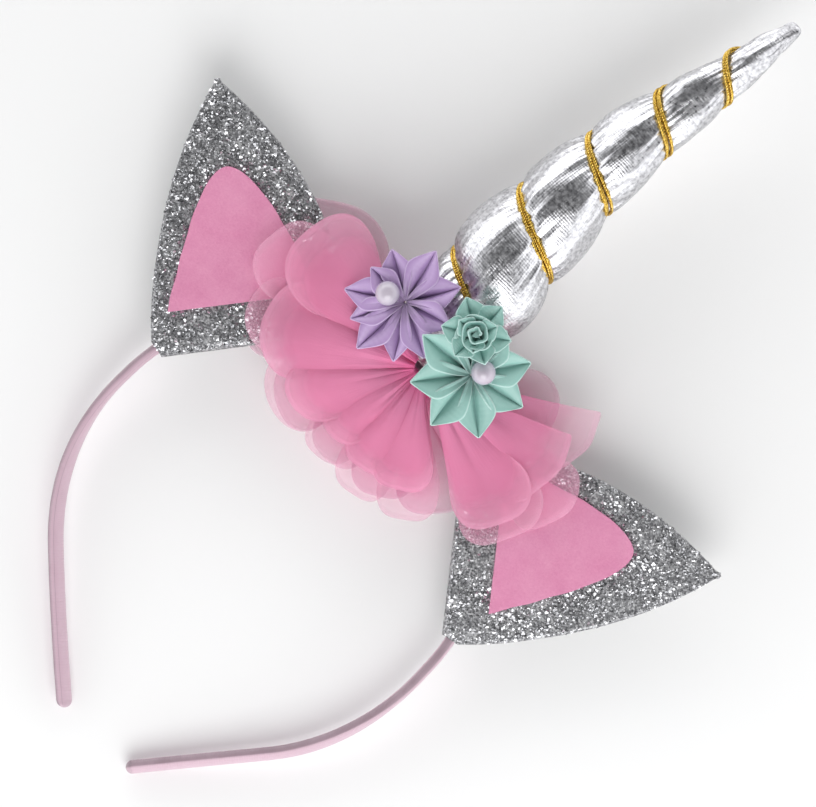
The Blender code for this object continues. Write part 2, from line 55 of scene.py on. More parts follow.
BAND = Matrix.Translation((0, -0.0022062, 0.014161)) @ Matrix.Rotation(math.radians(4.585768), 4, "X")
TO_BAND = BAND.inverted()
DOWN = Vector((0, 0, -1))

# Sizes shared with the solids
CLEARANCE = 0.0003
CROWN_RADIUS = 0.0612
LEG_RADIUS = 0.0725
LEG_TURN = math.radians(42)
LEG_STRAIGHT = 0.0428
LEG_SWAY = 0.0065
LEG_TWIST = math.radians(25)
HOOP_WIDTH = 0.0055
HOOP_THICKNESS = 0.0032
EAR_ANGLE = math.radians(52)
EAR_LENGTH = 0.0777
EAR_HALF_WIDTH = 0.029
EAR_FOLD_HALF_WIDTH = 0.0265
EAR_CORNER = 0.0045
EAR_FOLD_RADIUS = 0.002
EAR_CLOSING = 0.017
SHEET = 0.001
HOOP_SLACK = 0.0002
HORN_LENGTH = 0.146
HORN_RADIUS = 0.0174
HORN_BASE = (-0.0045, 0.0024)
HORN_LEAN = math.radians(4.4)
HORN_BOW = 0.0062
HORN_GROOVE = 0.29
CORD_LEAD = 0.0274
CORD_LEAD_LOSS = 0.0007
CORD_FOOT_MARGIN = 0.0126
CORD_TIP_MARGIN = 0.0108
CORD_FADE = 0.0105
FRONT_FOCUS = (-0.001, 0.002)
BACK_FOCUS = (0.0, -0.006)
PETAL_REACH = 0.062

# Sizes of the looks alone, in metres unless said otherwise
HOOP_TIP = 0.0021
LEG_SWELL = 0.0014
EAR_BOW = 0.0014
FELT_START = 0.0125
FELT_LENGTH = 0.0396
FELT_HALF_WIDTH = 0.0217
FELT_ROUNDING = 0.56  # power
HORN_THIN_START = 0.108
HORN_THIN_FADE = 0.024
HORN_THINNING = 0.12  # share of the radius
PLEAT_DEPTH = 0.036  # share of the radius
CORD_LIFT = 0.0013
CORD_FIRST_TURN = 0.0226
CORD_HIDDEN_END = 0.14  # turns
PETAL_SINK = 0.0005
PETAL_ROOT = 0.0026
TABLE_GAP = 0.0004


# Meshes


def to_world(points):
    """Points in the hoop's plane, as an array, moved to the part's frame."""
    m = np.array(BAND)
    return np.asarray(points) @ m[:3, :3].T + m[:3, 3]


def piece(name, points, faces, material, uvs=None, nodes=(), place=True):
    """A mesh of the object that rides on it. uvs has one pair for each corner of each face."""
    mesh = bpy.data.meshes.new(name)
    flat = np.reshape(points, (-1, 3))
    mesh.from_pydata((to_world(flat) if place else flat).tolist(), [], faces)
    if uvs is not None:
        layer = mesh.uv_layers.new(name="UVMap")
        layer.data.foreach_set("uv", np.asarray(uvs, dtype=np.float32).ravel())
    mesh.shade_smooth()
    mesh.materials.append(material)
    obj = bpy.data.objects.new(name, mesh)
    bpy.context.scene.collection.objects.link(obj)
    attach(obj, "root")
    if nodes:
        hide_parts(*nodes)
    return obj


def grid_faces(rows, cols, wrap=False, base=0):
    """Quads of a grid of points, and for each corner its row and column, unwrapped."""
    i, j = np.meshgrid(np.arange(rows - 1), np.arange(cols if wrap else cols - 1), indexing="ij")
    i, j = i.ravel(), j.ravel()
    r = np.stack([i, i, i + 1, i + 1], axis=1)
    c = np.stack([j, j + 1, j + 1, j], axis=1)
    return base + r * cols + c % cols, r, c


def grid_uvs(r, c, rows, cols, size=(1.0, 1.0)):
    return np.stack([c / cols * size[0], r / rows * size[1]], axis=-1)


def join_grids(parts, wrap=False, size=(1.0, 1.0)):
    """Points, faces and uvs of several grids as one mesh."""
    points, faces, uvs, base = [], [], [], 0
    for grid in parts:
        rows, cols = grid.shape[:2]
        f, r, c = grid_faces(rows, cols, wrap, base)
        points.append(grid.reshape(-1, 3))
        faces += f.tolist()
        uvs.append(grid_uvs(r, c, rows - 1, cols if wrap else cols - 1, size).reshape(-1, 2))
        base += rows * cols
    return np.concatenate(points), faces, np.concatenate(uvs)


def cap_ends(points, faces, uvs, rows, cols):
    """Closes both ends of a wrapped grid with a fan."""
    grid = points.reshape(rows, cols, 3)
    extra = [grid[0].mean(0), grid[-1].mean(0)]
    start, end = len(points), len(points) + 1
    more, more_uv = [], []
    for j in range(cols):
        k = (j + 1) % cols
        more.append([start, k, j])
        more.append([end, (rows - 1) * cols + j, (rows - 1) * cols + k])
        more_uv += [(0.5, 0.0)] * 3 + [(0.5, 1.0)] * 3
    return np.vstack([points, extra]), faces + more, np.vstack([uvs, more_uv])


def thicken(obj, thickness, bevel=0.0):
    wall = obj.modifiers.new("wall", "SOLIDIFY")
    wall.thickness = thickness
    wall.offset = 0.0
    if bevel:
        edge = obj.modifiers.new("edge", "BEVEL")
        edge.width = bevel
        edge.segments = 2
        edge.limit_method = "ANGLE"


def smoothstep(x):
    x = np.clip(x, 0.0, 1.0)
    return x * x * (3 - 2 * x)


def spline_weights(samples, controls):
    """Cubic B-spline weights that spread values at controls over more samples."""
    at = np.linspace(0, controls - 1, samples)
    weights = np.zeros((samples, controls))
    for k in range(-1, controls + 1):
        d = np.abs(at - k)
        w = np.where(d < 1, 2 / 3 - d**2 + d**3 / 2, np.where(d < 2, (2 - d) ** 3 / 6, 0))
        weights[:, min(max(k, 0), controls - 1)] += w
    return weights


def node_tree(names):
    """The named CAD nodes in the hoop's plane, for casting rays."""
    points, faces = [], []
    for name in names:
        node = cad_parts[name]
        matrix = TO_BAND @ node.matrix_world
        base = len(points)
        points += [matrix @ v.co for v in node.data.vertices]
        faces += [[base + i for i in p.vertices] for p in node.data.polygons]
    return BVHTree.FromPolygons(points, faces)


# Materials


def set_stops(ramp, stops):
    """Stops of a colour ramp: each a place from 0 to 1, with a grey level or a colour."""
    while len(ramp.elements) < len(stops):
        ramp.elements.new(1.0)
    for element, (at, colour) in zip(ramp.elements, stops):
        element.position = at
        element.color = (*colour, 1) if isinstance(colour, tuple) else (colour,) * 3 + (1,)


class Look:
    """A node material under construction, with short ways to add nodes."""

    def __init__(self, name, colour, roughness, metallic=0.0, **sockets):
        self.material = bpy.data.materials.new(name)
        self.material.use_nodes = True
        self.tree = self.material.node_tree
        self.shader = self.tree.nodes["Principled BSDF"]
        self.shader.inputs["Base Color"].default_value = (*colour, 1)
        self.shader.inputs["Roughness"].default_value = roughness
        self.shader.inputs["Metallic"].default_value = metallic
        for key, value in sockets.items():
            self.shader.inputs[key.replace("_", " ")].default_value = value

    def node(self, kind, inputs=None, **settings):
        n = self.tree.nodes.new(kind)
        for key, value in settings.items():
            setattr(n, key, value)
        for key, value in (inputs or {}).items():
            if isinstance(value, bpy.types.NodeSocket):
                self.tree.links.new(value, n.inputs[key])
            else:
                n.inputs[key].default_value = value
        return n

    def feed(self, socket, value):
        self.tree.links.new(value, self.shader.inputs[socket])

    def place(self, kind="Object"):
        return self.node("ShaderNodeTexCoord").outputs[kind]

    def scaled(self, vector, scale):
        return self.node("ShaderNodeMapping", {"Vector": vector, "Scale": scale}).outputs["Vector"]

    def noise(self, scale, detail=3.0, rough=0.5, vector=None):
        vector = self.place() if vector is None else vector
        n = self.node(
            "ShaderNodeTexNoise",
            {"Vector": vector, "Scale": scale, "Detail": detail, "Roughness": rough},
        )
        return n.outputs["Fac"]

    def wave(self, scale, vector, distortion=0.0, direction="X"):
        n = self.node(
            "ShaderNodeTexWave",
            {"Vector": vector, "Scale": scale, "Distortion": distortion, "Detail": 1.0},
            bands_direction=direction,
        )
        return n.outputs["Fac"]

    def ramp(self, value, stops):
        n = self.node("ShaderNodeValToRGB", {"Fac": value})
        set_stops(n.color_ramp, stops)
        return n.outputs["Color"]

    def math(self, operation, a, b=0.0):
        n = self.node("ShaderNodeMath", operation=operation)
        for socket, value in zip(n.inputs, (a, b)):
            if isinstance(value, bpy.types.NodeSocket):
                self.tree.links.new(value, socket)
            else:
                socket.default_value = value
        return n.outputs[0]

    def mix(self, factor, a, b, blend="MIX"):
        n = self.node("ShaderNodeMix", data_type="RGBA", blend_type=blend)
        for index, value in ((0, factor), (6, a), (7, b)):
            if isinstance(value, bpy.types.NodeSocket):
                self.tree.links.new(value, n.inputs[index])
            else:
                n.inputs[index].default_value = value if index == 0 else (*value, 1)
        return n.outputs[2]

    def axis(self, vector, which):
        return self.node("ShaderNodeSeparateXYZ", {"Vector": vector}).outputs[which]

    def off_middle(self, uv):
        """Distance from a petal's middle line: 0 on the line, 1 at the sides."""
        doubled = self.math("MULTIPLY", self.axis(uv, "X"), 2.0)
        return self.math("ABSOLUTE", self.math("SUBTRACT", doubled, 1.0))

    def bump(self, height, distance, strength=1.0):
        n = self.node("ShaderNodeBump", {"Height": height, "Distance": distance, "Strength": strength})
        self.feed("Normal", n.outputs["Normal"])


def chiffon_look(name, root, middle, rim, alphas):
    """Sheer pink cloth: deep in the gathers at its root, with painted shade in the creases along its
    sides, thin and pale at its rim.
    """
    look = Look(name, middle, 0.75, Sheen_Weight=0.12, Sheen_Roughness=0.5)
    uv = look.place("UV")
    along = look.axis(uv, "Y")
    across = look.off_middle(uv)
    shade = look.ramp(along, [(0.0, root), (0.28, middle), (0.80, middle), (1.0, rim)])
    # Painted shade in the creases: the colour deepens along a petal's sides near the root and fades
    # outwards
    sides = look.ramp(across, [(0.0, 0.0), (0.55, 0.0), (0.95, 1.0), (1.0, 1.0)])
    inner = look.ramp(along, [(0.0, 1.0), (0.30, 0.8), (0.72, 0.0), (1.0, 0.0)])
    deep = look.math("MULTIPLY", look.math("MULTIPLY", sides, inner), 0.75)
    shade = look.mix(deep, shade, root)
    cloud = look.math("MULTIPLY", look.noise(110.0, 3.0), 0.45)
    pale = tuple(min(1.0, 1.1 * v + 0.02) for v in middle)
    look.feed("Base Color", look.mix(cloud, shade, pale))
    warp, weft = look.wave(1500.0, look.place()), look.wave(1500.0, look.place(), 0, "Y")
    weave = look.math("MULTIPLY", warp, weft)
    near, half, far, edge = alphas
    thin = look.ramp(along, [(0.0, near), (0.42, half), (0.86, far), (0.955, far), (0.975, edge)])
    look.feed("Alpha", look.math("SUBTRACT", thin, look.math("MULTIPLY", weave, 0.06)))
    streaks = look.noise(1.0, 4.0, 0.6, look.scaled(uv, (16.0, 2.2, 1.0)))
    fine = look.math("ADD", look.noise(260.0, 4.0), look.math("MULTIPLY", weave, 0.3))
    look.bump(look.math("ADD", fine, look.math("MULTIPLY", streaks, 2.2)), 0.00030, 0.6)
    return look.material


def satin_look(name, deep, middle, highlight_tone, rim):
    """Folded ribbon: painted shade down the crease and towards the root, a painted highlight on the
    swell, pale at the rim.
    """
    look = Look(name, middle, 0.36, Sheen_Weight=0.25, Coat_Weight=0.06)
    uv = look.place("UV")
    across = look.off_middle(uv)
    # Across the petal: painted shade in the crease, a painted highlight on the swell, a pale rim
    stops = [(0.0, deep), (0.16, middle), (0.55, highlight_tone), (0.90, middle), (0.965, rim), (1.0, rim)]
    colour = look.ramp(across, stops)
    # Painted shade towards the root, where the petals meet in the flower's middle
    root = look.ramp(look.axis(uv, "Y"), [(0.0, 0.45), (0.35, 1.0), (1.0, 1.0)])
    colour = look.mix(1.0, colour, root, "MULTIPLY")
    tip = look.ramp(look.axis(uv, "Y"), [(0.0, 0.0), (0.955, 0.0), (0.99, 0.8), (1.0, 0.8)])
    colour = look.mix(tip, colour, rim)
    look.feed("Base Color", look.mix(look.math("MULTIPLY", look.noise(260.0), 0.35), colour, highlight_tone))
    threads = look.wave(900.0, look.scaled(uv, (0.014, 0.004, 1)), 0.4, "Y")
    relief = look.math("ADD", look.math("MULTIPLY", threads, 0.35), look.noise(500.0, 2.0))
    look.bump(relief, 0.00012, 0.5)
    look.feed("Roughness", look.ramp(look.noise(300.0), [(0.3, 0.30), (0.7, 0.46)]))
    return look.material


def lame_look():
    """Silver knit: fine ribs and stitches over a satin metal film, with soft wrinkles."""
    look = Look("silver_lame_knit", (0.80, 0.80, 0.82), 0.24, 1.0)
    uv = look.place("UV")
    ribs = look.wave(1.0, look.scaled(uv, (4.2, 0.9, 1.0)), 2.6)
    stitches = look.wave(1.0, look.scaled(uv, (1.4, 3.6, 1.0)), 4.0, "Y")
    grain = look.noise(900.0, 3.0)
    knit = look.math("ADD", look.math("MULTIPLY", ribs, 0.30), look.math("MULTIPLY", stitches, 0.45))
    knit = look.math("ADD", knit, look.math("MULTIPLY", grain, 0.8))
    colour = look.ramp(grain, [(0.34, (0.42, 0.42, 0.44)), (0.60, (0.76, 0.76, 0.78))])
    cloud = look.math("MULTIPLY", look.noise(90.0), 0.3)
    look.feed("Base Color", look.mix(cloud, colour, (0.66, 0.64, 0.68)))
    look.feed("Roughness", look.ramp(grain, [(0.3, 0.26), (0.7, 0.40)]))
    wrinkle = look.noise(1.0, 3.0, 0.5, look.scaled(uv, (3.0, 1.2, 1.0)))
    relief = look.math("ADD", look.math("MULTIPLY", knit, 0.16), look.math("MULTIPLY", wrinkle, 0.5))
    look.bump(relief, 0.0005, 0.7)
    return look.material


def glitter_look(name, tones, metallic, roughness):
    """Crushed silver grains: each cell turns its own way and has its own grey."""
    look = Look(name, tones[1], roughness[0], metallic)
    cells = look.node("ShaderNodeTexVoronoi", {"Vector": look.place(), "Scale": 2100.0})
    grain = look.axis(cells.outputs["Color"], "X")
    clump = look.noise(330.0, 3.0)
    tone = look.math("ADD", look.math("MULTIPLY", grain, 0.55), look.math("MULTIPLY", clump, 0.5))
    look.feed("Base Color", look.ramp(tone, [(0.12, tones[0]), (0.55, tones[1]), (0.95, tones[2])]))
    rough = look.ramp(look.axis(cells.outputs["Color"], "Y"), [(0.0, roughness[0]), (1.0, roughness[1])])
    look.feed("Roughness", rough)
    look.bump(look.axis(cells.outputs["Color"], "Z"), 0.0003, 0.9)
    return look.material


def felt_look():
    look = Look("pink_felt_fuzz", (0.80, 0.29, 0.50), 0.95, Sheen_Weight=0.25, Sheen_Roughness=0.6)
    fuzz = look.noise(1500.0, 5.0, 0.7)
    cloud = look.noise(140.0, 3.0)
    ribs = look.wave(150.0, look.place("UV"), 3.0, "Y")
    stops = [(0.30, (0.67, 0.21, 0.38)), (0.50, (0.73, 0.27, 0.44)), (0.72, (0.79, 0.335, 0.50))]
    mixed = look.math("ADD", look.math("MULTIPLY", fuzz, 0.6), look.math("MULTIPLY", cloud, 0.4))
    look.feed("Base Color", look.ramp(mixed, stops))
    look.bump(look.math("ADD", fuzz, look.math("MULTIPLY", ribs, 0.15)), 0.0003, 0.6)
    return look.material


def ribbon_look():
    """The hoop's satin: pale on its faces, with a dusky band, the ribbon's overlap darkened with painted
    shade of the band's side, and a seam beside it.
    """
    look = Look("hoop_ribbon", (0.68, 0.46, 0.58), 0.40, Sheen_Weight=0.2, Coat_Weight=0.05)
    uv = look.place("UV")
    # The dusky colour is the ribbon's overlap together with painted shade of the band's side
    pale, overlap_and_shade, seam = (0.53, 0.355, 0.43), (0.24, 0.165, 0.195), (0.32, 0.215, 0.26)
    stops = [(0.0, pale), (0.045, pale), (0.080, overlap_and_shade), (0.215, overlap_and_shade), (0.250, pale), (0.290, pale)]
    stops += [(0.302, seam), (0.316, pale), (1.0, pale)]
    ramp = look.ramp(look.axis(uv, "X"), stops)
    cloud = look.math("MULTIPLY", look.noise(130.0, 3.0), 0.55)
    look.feed("Base Color", look.mix(cloud, ramp, (0.58, 0.43, 0.50)))
    threads = look.wave(1.0, look.scaled(uv, (2.0, 260.0, 1.0)), 1.5, "Y")
    relief = look.math("ADD", look.math("MULTIPLY", threads, 0.4), look.noise(300.0, 3.0))
    look.bump(relief, 0.0002, 0.6)
    return look.material


def gold_look():
    look = Look("gold_thread", (0.90, 0.62, 0.16), 0.28, 1.0)
    spin = look.noise(2200.0, 2.0)
    stops = [(0.32, (0.28, 0.15, 0.015)), (0.5, (0.62, 0.40, 0.06)), (0.68, (0.95, 0.72, 0.24))]
    look.feed("Base Color", look.ramp(spin, stops))
    look.feed("Roughness", look.ramp(look.noise(900.0), [(0.3, 0.18), (0.7, 0.42)]))
    look.bump(spin, 0.00012, 0.8)
    return look.material


def pearl_look():
    look = Look("pearl_lustre", (0.62, 0.58, 0.66), 0.26, Coat_Weight=0.8, Coat_Roughness=0.04)
    # Painted shade: the colour darkens towards the pearl's outline as seen
    edge = look.node("ShaderNodeLayerWeight", {"Blend": 0.45}).outputs["Facing"]
    stops = [(0.0, (0.50, 0.45, 0.53)), (0.5, (0.44, 0.40, 0.49)), (1.0, (0.34, 0.32, 0.41))]
    outline_shade = look.ramp(edge, stops)
    cloud = look.math("MULTIPLY", look.noise(260.0), 0.4)
    look.feed("Base Color", look.mix(cloud, outline_shade, (0.58, 0.50, 0.55)))
    look.bump(look.noise(700.0), 0.00003, 0.4)
    return look.material


# Ribbon colours: painted crease shade, middle, painted highlight on the swell, rim
SATIN_LILAC = satin_look(
    "lilac_ribbon",
    (0.21, 0.11, 0.30),
    (0.39, 0.25, 0.49),
    (0.50, 0.35, 0.60),
    (0.54, 0.40, 0.63),
)
SATIN_MINT = satin_look(
    "mint_ribbon",
    (0.14, 0.33, 0.30),
    (0.24, 0.46, 0.41),
    (0.31, 0.53, 0.48),
    (0.46, 0.65, 0.61),
)
CHIFFON_TOP = chiffon_look(
    "chiffon_top", (0.76, 0.07, 0.26), (0.88, 0.28, 0.49), (0.92, 0.43, 0.61), (0.95, 0.68, 0.36, 0.42)
)
CHIFFON_FRONT = chiffon_look(
    "chiffon_front", (0.75, 0.07, 0.27), (0.88, 0.29, 0.50), (0.95, 0.54, 0.70), (0.9, 0.62, 0.24, 0.31)
)
CHIFFON_BACK = chiffon_look(
    "chiffon_back", (0.76, 0.13, 0.33), (0.90, 0.37, 0.57), (0.95, 0.57, 0.73), (0.8, 0.42, 0.22, 0.28)
)
HUB_CHIFFON = chiffon_look(
    "chiffon_hub", (0.56, 0.03, 0.16), (0.70, 0.10, 0.30), (0.78, 0.18, 0.4), (1.0,) * 4
)
LAME = lame_look()
GLITTER = glitter_look(
    "glitter_ground", ((0.05, 0.05, 0.055), (0.26, 0.26, 0.27), (0.75, 0.75, 0.76)), 0.6, (0.25, 0.6)
)
FLAKES = glitter_look(
    "glitter_flakes", ((0.22, 0.22, 0.23), (0.55, 0.55, 0.57), (0.95, 0.95, 0.97)), 1.0, (0.12, 0.35)
)
FELT = felt_look()
RIBBON = ribbon_look()
GOLD = gold_look()
PEARL = pearl_look()


# Hoop


def hoop_path(steps_crown=64, steps_leg=28, steps_straight=16):
    """Centre points and outward normals along the right half, from the crown's middle to the tip."""
    path = []
    for a in np.linspace(0, math.pi / 2, steps_crown):
        out = np.array([math.sin(a), math.cos(a), 0])
        path.append((CROWN_RADIUS * out - [0, CROWN_RADIUS, 0], out))
    centre = np.array([CROWN_RADIUS - LEG_RADIUS, -CROWN_RADIUS, 0])
    for b in np.linspace(0, LEG_TURN, steps_leg)[1:]:
        out = np.array([math.cos(b), -math.sin(b), 0])
        path.append((centre + LEG_RADIUS * out, out))
    start, out = path[-1]
    along = np.array([-math.sin(LEG_TURN), -math.cos(LEG_TURN), 0])
    for t in np.linspace(0, 1, steps_straight)[1:]:
        path.append((start + t * LEG_STRAIGHT * along, out))
    return path


def build_hoop():
    """A ribbon sewn round the band: a rounded section with the ribbon's lapped edge as a low lip."""
    around = 40
    drop = LEG_RADIUS * math.sin(LEG_TURN) + LEG_STRAIGHT * math.cos(LEG_TURN)
    a = np.linspace(0, TAU, around, endpoint=False)
    power = 0.62
    across = np.sign(np.cos(a)) * np.abs(np.cos(a)) ** power * HOOP_THICKNESS / 2
    deep = np.sign(np.sin(a)) * np.abs(np.sin(a)) ** power * HOOP_WIDTH / 2
    lip = 1 + 0.09 * smoothstep((a - 0.72) / 0.10) * (1 - smoothstep((a - 1.5) / 0.7))
    half = [(p, o, 1.0) for p, o in hoop_path()]
    end, out, _ = half[-1]
    along = np.array([out[1], -out[0], 0])
    for k in range(1, 9):
        bend = k / 8 * math.pi / 2
        half.append((end + HOOP_TIP * math.sin(bend) * along, out, max(0.12, math.cos(bend))))
    rings = []
    for side in (-1, 1):
        rows = []
        for index, (p, o, size) in enumerate(half):
            p, o = p * [side, 1, 1], o * [side, 1, 1]
            share = max(0.0, (-CROWN_RADIUS - p[1]) / drop)
            twist = side * LEG_TWIST * float(smoothstep(2 * share))
            front = np.array([0, 0, 1.0])
            radial = math.cos(twist) * o + math.sin(twist) * front
            over = math.cos(twist) * front - math.sin(twist) * o
            crease = 1 + 0.012 * math.sin(index * 2.1) + 0.010 * math.sin(index * 0.83 + side)
            swell = LEG_SWELL * math.sin(math.pi * min(1.0, share))
            centre = p + [LEG_SWAY * share**2, 0, 0] + o * swell
            wide, tall = (across * lip)[:, None], (deep * lip * crease)[:, None]
            rows.append(centre + size * (wide * radial + tall * over))
        rings.append(rows)
    rows = np.array(list(reversed(rings[0]))[:-1] + rings[1])
    points, faces, uvs = join_grids([rows], wrap=True)
    # Shifts the dusky band, with its painted shade, round the section on the right half of the hoop
    uvs[:, 0] -= 0.13 * smoothstep((uvs[:, 1] - 0.60) / 0.12)
    points, faces, uvs = cap_ends(points, faces, uvs, *rows.shape[:2])
    piece("hoop_in_ribbon", points, faces, RIBBON, uvs, ["hoop"])


# Ears


def ear_base():
    slope = EAR_FOLD_HALF_WIDTH / CROWN_RADIUS
    chord = math.sqrt(CROWN_RADIUS**2 - EAR_FOLD_HALF_WIDTH**2)
    hoop_half = HOOP_THICKNESS / 2 / math.sqrt(1 - slope**2)
    return chord - hoop_half - CLEARANCE - HOOP_SLACK - SHEET / 2


def ear_channel():
    return HOOP_WIDTH / 2 + CLEARANCE + SHEET / 2


def ear_height(along):
    closed = SHEET / 2 + CLEARANCE / 2
    hoop_top = CROWN_RADIUS + HOOP_THICKNESS / 2 - ear_base() + 2 * CLEARANCE
    return ear_channel() + smoothstep((along - hoop_top) / EAR_CLOSING) * (closed - ear_channel())


def ear_half_width(along):
    radius = (EAR_HALF_WIDTH**2 + EAR_LENGTH**2) / (2 * EAR_HALF_WIDTH)
    width = EAR_HALF_WIDTH - radius + np.sqrt(radius**2 - np.maximum(0.0, along) ** 2)
    narrowing = (EAR_HALF_WIDTH - EAR_FOLD_HALF_WIDTH) * (1 - smoothstep(along / EAR_CORNER))
    return np.maximum(0.0007, width - narrowing)


def from_ear(points, side):
    """Points in an ear's own plane, bowed a little towards the crown and moved to the hoop's plane."""
    bow = EAR_BOW * np.sin(math.pi * np.clip(points[..., 1] / EAR_LENGTH, 0, 1))
    points = points.copy()
    points[..., 0] -= side * bow
    turn = Matrix.Rotation(-side * EAR_ANGLE, 4, "Z")
    m = Matrix.Translation((0, -CROWN_RADIUS, 0)) @ turn @ Matrix.Translation((0, ear_base(), 0))
    m = np.array(m)
    return points @ m[:3, :3].T + m[:3, 3]


def ear_profile():
    front = [(a, float(ear_height(a))) for a in np.linspace(EAR_LENGTH, 0.0045, 54)]
    fold = []
    for degrees in np.linspace(0, 90, 7):
        a = math.radians(degrees)
        fold.append(
            (EAR_FOLD_RADIUS * (1 - math.sin(a)), ear_channel() - EAR_FOLD_RADIUS * (1 - math.cos(a)))
        )
    half = front + fold
    return np.array(half + [(a, -h) for a, h in reversed(half)])


def build_ear(name, side):
    profile = ear_profile()
    cols = np.linspace(-1, 1, 41)
    width = ear_half_width(profile[:, 0])
    x = width[:, None] * cols[None, :]
    along = np.repeat(profile[:, :1], len(cols), axis=1)
    z = np.repeat(profile[:, 1:], len(cols), axis=1)
    ripple = 0.00016 * np.sin(x * 300 + side) * np.sin(along * 210)
    rows = np.stack([x, along, z + ripple], axis=-1)
    points, faces, uvs = join_grids([from_ear(rows, side)])
    ear = piece(f"{name}_sheet", points, faces, GLITTER, uvs, [name])
    thicken(ear, 0.0009)
    scatter_glitter(f"{name}_glitter", side)


def scatter_glitter(name, side, count=13000):
    """Tilted flakes over both outer faces of an ear, leaning together in clumps."""
    along = RNG.random(count * 2) * EAR_LENGTH
    x = (RNG.random(count * 2) * 2 - 1) * EAR_HALF_WIDTH
    keep = np.abs(x) < ear_half_width(along) - 0.0001
    along, x = along[keep][:count], x[keep][:count]
    n = len(along)
    face = np.where(RNG.random(n) < 0.62, 1.0, -1.0)
    along = np.maximum(along, 0.0006)
    z = face * (ear_height(along) + 0.00045 + RNG.random(n) * 0.00014)
    centre = np.stack([x, along, z], axis=-1)
    size = 0.00014 + RNG.random(n) ** 3.4 * 0.00058
    spin = RNG.random(n) * TAU
    tilt = RNG.normal(0, 0.30, (n, 2))
    for _ in range(10):
        wave = RNG.normal(0, 900, 2)
        lean = np.sin(wave[0] * x + wave[1] * along + RNG.random() * TAU)
        tilt += 0.10 * lean[:, None] * RNG.normal(0, 1, 2)
    corners = []
    for k in range(4):
        a = spin + k * TAU / 4 + 0.3 * (k % 2)
        dx, dy = np.cos(a) * size, np.sin(a) * size
        dz = dx * tilt[:, 0] + dy * tilt[:, 1]
        corners.append(centre + np.stack([dx, dy, dz], axis=-1))
    points = np.stack(corners, axis=1).reshape(-1, 3)
    order = np.where(face[:, None] > 0, [[0, 1, 2, 3]], [[3, 2, 1, 0]])
    faces = (np.arange(n)[:, None] * 4 + order).tolist()
    piece(name, from_ear(points, side), faces, FLAKES)


def build_inner_ear(name, side, shift, turn=0.0):
    shares = np.concatenate([np.linspace(0, 0.9, 24), 1 - 0.1 * np.linspace(0.9, 0.04, 10) ** 2])
    cols = np.linspace(-1, 1, 31)
    along = FELT_START + shares * FELT_LENGTH
    width = FELT_HALF_WIDTH * (1 - shares) ** FELT_ROUNDING
    wobble = 1 + 0.008 * np.sin(shares * 23 + side)
    x = side * shift + (width * wobble)[:, None] * cols[None, :]
    y = np.repeat(along[:, None], len(cols), axis=1) + turn * x
    z = ear_height(y) + SHEET + CLEARANCE
    points, faces, uvs = join_grids([from_ear(np.stack([x, y, z], axis=-1), side)])
    felt = piece(f"{name}_felt", points, faces, FELT, uvs, [name])
    thicken(felt, 0.001, 0.0003)


# Horn and cord


def cord_turn(height):
    root = CORD_LEAD**2 - 4 * CORD_LEAD_LOSS * (height - CORD_FIRST_TURN)
    return (CORD_LEAD - np.sqrt(root)) / (2 * CORD_LEAD_LOSS)


def cord_height(turn):
    return CORD_FIRST_TURN + CORD_LEAD * turn - CORD_LEAD_LOSS * turn**2


HORN_OUTLINE = np.array(
    [
        # share of length, share of radius
        (0.00, 0.34),
        (0.04, 0.50),
        (0.10, 0.72),
        (0.16, 0.91),
        (0.22, 1.00),
        (0.30, 0.95),
        (0.42, 0.82),
        (0.54, 0.70),
        (0.68, 0.55),
        (0.82, 0.41),
        (0.94, 0.28),
        (1.00, 0.18),
    ]
)


def horn_outline(height):
    """The smooth tube round the bulges."""
    share = np.clip(height / HORN_LENGTH, 0, 1)
    at, r = HORN_OUTLINE[:, 0], HORN_OUTLINE[:, 1]
    i = np.clip(np.searchsorted(at, share, side="right") - 1, 0, len(at) - 2)
    before, after = np.maximum(i - 1, 0), np.minimum(i + 2, len(at) - 1)
    span = at[i + 1] - at[i]
    t = (share - at[i]) / span
    slope_in = (r[i + 1] - r[before]) / (at[i + 1] - at[before]) * span
    slope_out = (r[after] - r[i]) / (at[after] - at[i]) * span
    value = (2 * t**3 - 3 * t**2 + 1) * r[i] + (t**3 - 2 * t**2 + t) * slope_in
    value += (3 * t**2 - 2 * t**3) * r[i + 1] + (t**3 - t**2) * slope_out
    thinning = HORN_THINNING * smoothstep((height - HORN_THIN_START) / HORN_THIN_FADE)
    return HORN_RADIUS * value * (1 - thinning)


def groove_share(height):
    from_foot = smoothstep((height - CORD_FOOT_MARGIN + CORD_FADE) / CORD_FADE)
    return from_foot * smoothstep((HORN_LENGTH - CORD_TIP_MARGIN + CORD_FADE - height) / CORD_FADE)


def horn_frame(height):
    """Centre of the horn at a height, its sideways direction and its own direction."""
    along = np.array([math.sin(HORN_LEAN), math.cos(HORN_LEAN), 0])
    across = np.array([along[1], -along[0], 0])
    bow = HORN_BOW * np.maximum(0.0, np.sin(math.pi * height / HORN_LENGTH)) ** 1.3
    centre = np.array([*HORN_BASE, 0]) + height[..., None] * along - bow[..., None] * across
    return centre, across, along


